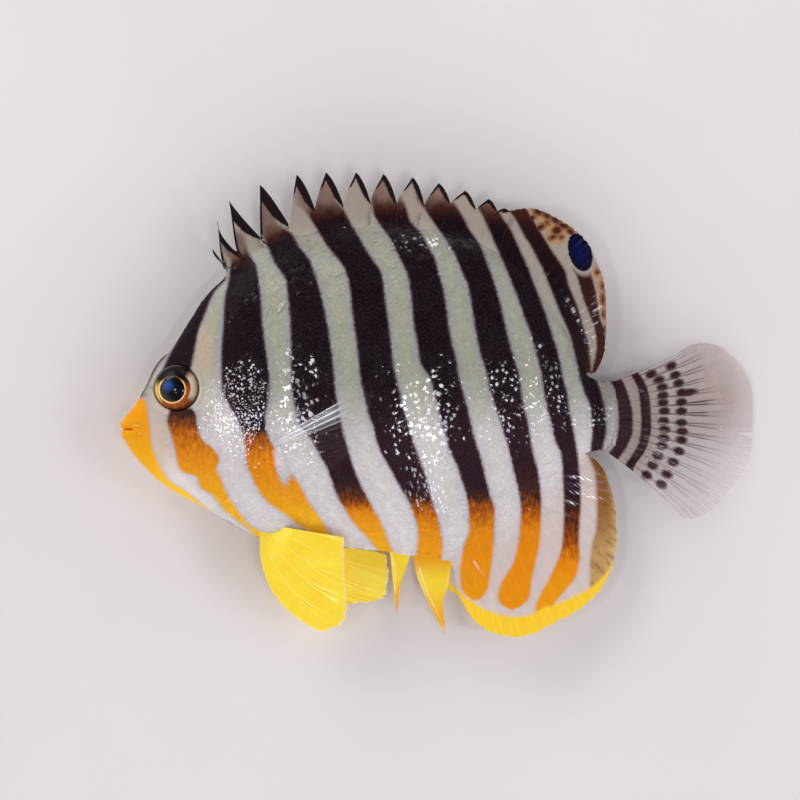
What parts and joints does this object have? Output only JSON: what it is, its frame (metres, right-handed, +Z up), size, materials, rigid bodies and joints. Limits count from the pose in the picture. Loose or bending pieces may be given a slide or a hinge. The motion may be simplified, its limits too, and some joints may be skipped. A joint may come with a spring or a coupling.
{
  "type": "multibarred angelfish model",
  "caption": "Still, life-size multibarred angelfish lying on its right side, with a deep barred body, spiny dorsal fin, fan tail and yellow pelvic fins.",
  "frame": {"origin": "middle of the model's box on the floor it lies on", "axes": "-X towards the snout, +X towards the tail tip, +Y towards the back and dorsal fin, +Z up out of the left flank"},
  "size_m": [0.0762, 0.056, 0.0147],
  "materials": {
    "skin": "wet, scaled skin with dark bars",
    "eye": "polished dark eye",
    "barred_fin": "wet scaled fin with bars",
    "clear_fin": "wet clear fin with rays",
    "yellow_fin": "wet yellow fin with rays"
  },
  "bodies": {
    "root": {"head": "skin", "trunk": "skin", "tail_stalk": "skin", "eye_left": "eye", "eye_right": "eye", "dorsal_fin_spiny": "barred_fin", "dorsal_fin_soft": "barred_fin", "anal_fin": "barred_fin", "tail_fin": "clear_fin", "pectoral_fin_left": "clear_fin", "pectoral_fin_right": "clear_fin", "pelvic_fin_left": "yellow_fin", "pelvic_fin_right": "yellow_fin"}
  },
  "joints": []
}
